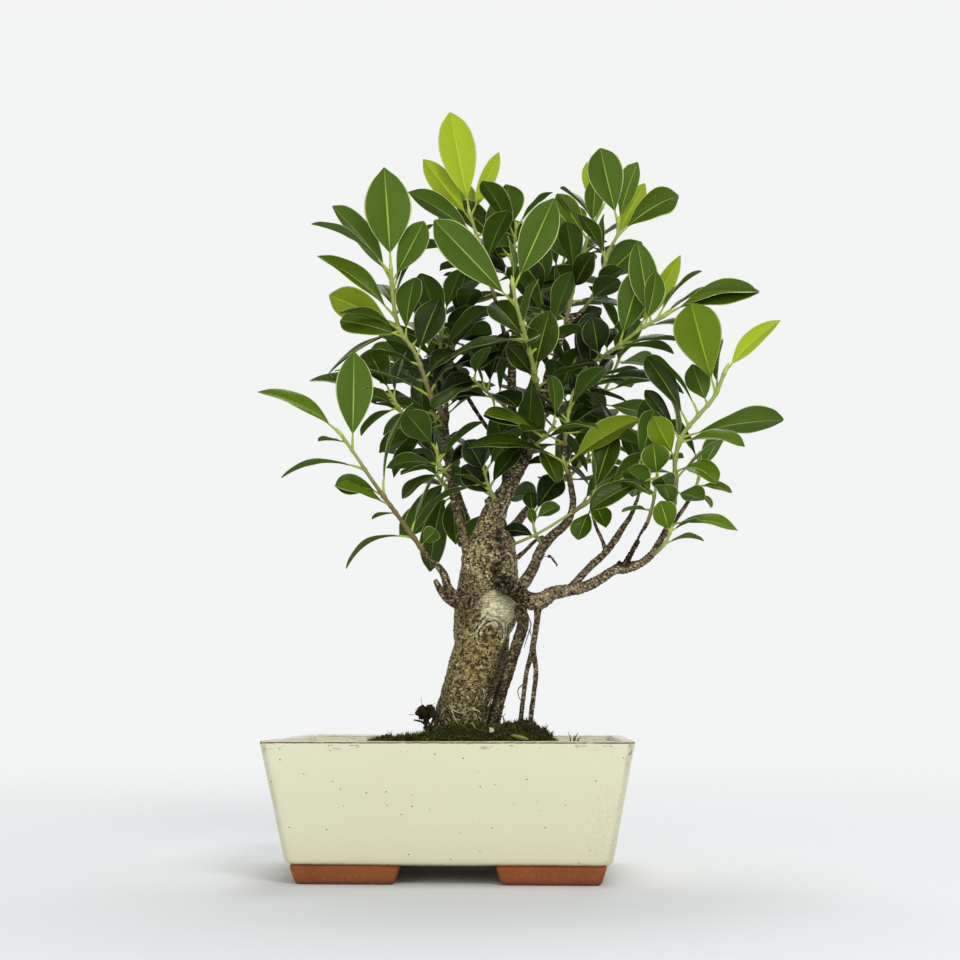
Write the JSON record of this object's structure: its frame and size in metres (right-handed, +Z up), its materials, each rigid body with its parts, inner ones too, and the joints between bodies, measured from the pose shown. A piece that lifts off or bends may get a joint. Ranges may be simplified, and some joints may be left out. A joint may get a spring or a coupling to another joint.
{
  "type": "bonsai tree in a pot",
  "caption": "Indoor fig bonsai with an upright speckled trunk, aerial roots and glossy oval leaves, growing in a shallow rectangular cream-glazed pot on four unglazed feet.",
  "frame": {"origin": "on the table, under the middle of the whole plant's outline", "axes": "+Z up, +X along the pot's long side to the right as seen from the front, -Y towards the viewer"},
  "size_m": [0.3624, 0.2522, 0.5583],
  "materials": {
    "glazed_pot": "gloss",
    "terracotta": "matte",
    "screen_plastic": "matte",
    "clip_wire": "satin",
    "soil": "matte",
    "moss": "matte",
    "bark": "matte",
    "leaf": "satin",
    "young_leaf": "satin",
    "green_stem": "satin",
    "dry_tuft": "matte",
    "grit": "matte"
  },
  "bodies": {
    "root": {"aerial_root_forked": "bark", "aerial_root_thick": "bark", "back_left_branch": "bark", "back_left_low_shoot": "leaf", "back_left_shoot": "leaf", "back_middle_branch": "bark", "back_middle_shoot": "leaf", "back_right_branch": "bark", "back_right_low_shoot": "leaf", "back_right_shoot": "leaf", "crown_left_shoot": "leaf", "crown_middle_shoot": "leaf", "crown_right_back_shoot": "leaf", "crown_right_front_shoot": "leaf", "diagonal_branch": "bark", "diagonal_shoot": "leaf", "drain_screen_left": "screen_plastic", "drain_screen_right": "screen_plastic", "dry_tuft": "dry_tuft", "grit_stone": "grit", "inner_left_shoot": "leaf", "leader_front_shoot": "leaf", "leader_low_shoot": "leaf", "leader_middle": "bark", "leader_right": "bark", "leader_right_shoot": "leaf", "leader_side_shoot": "leaf", "left_inner_side_shoot": "leaf", "left_low_branch": "bark", "left_riser": "bark", "left_side_shoot": "leaf", "left_tip_shoot": "leaf", "middle_front_shoot": "leaf", "middle_top_shoot": "leaf", "moss_front": "moss", "moss_left": "moss", "moss_right": "moss", "pot": "glazed_pot", "right_inner_shoot": "leaf", "right_low_branch": "bark", "right_low_spur_shoot": "leaf", "right_middle_branch": "bark", "right_middle_front_shoot": "leaf", "right_middle_low_shoot": "leaf", "right_middle_shoot": "leaf", "right_middle_side_shoot": "leaf", "right_shoot": "leaf", "right_spur_inner": "bark", "right_spur_inner_shoot": "leaf", "right_spur_middle_shoot": "leaf", "right_spur_outer": "bark", "right_spur_outer_shoot": "leaf", "right_spur_twig_shoot": "leaf", "right_upper_shoot": "leaf", "riser_low_shoot": "leaf", "screen_clip_left": "clip_wire", "screen_clip_right": "clip_wire", "soil": "soil", "trunk": "bark", "upper_left_shoot": "leaf"}
  },
  "joints": []
}
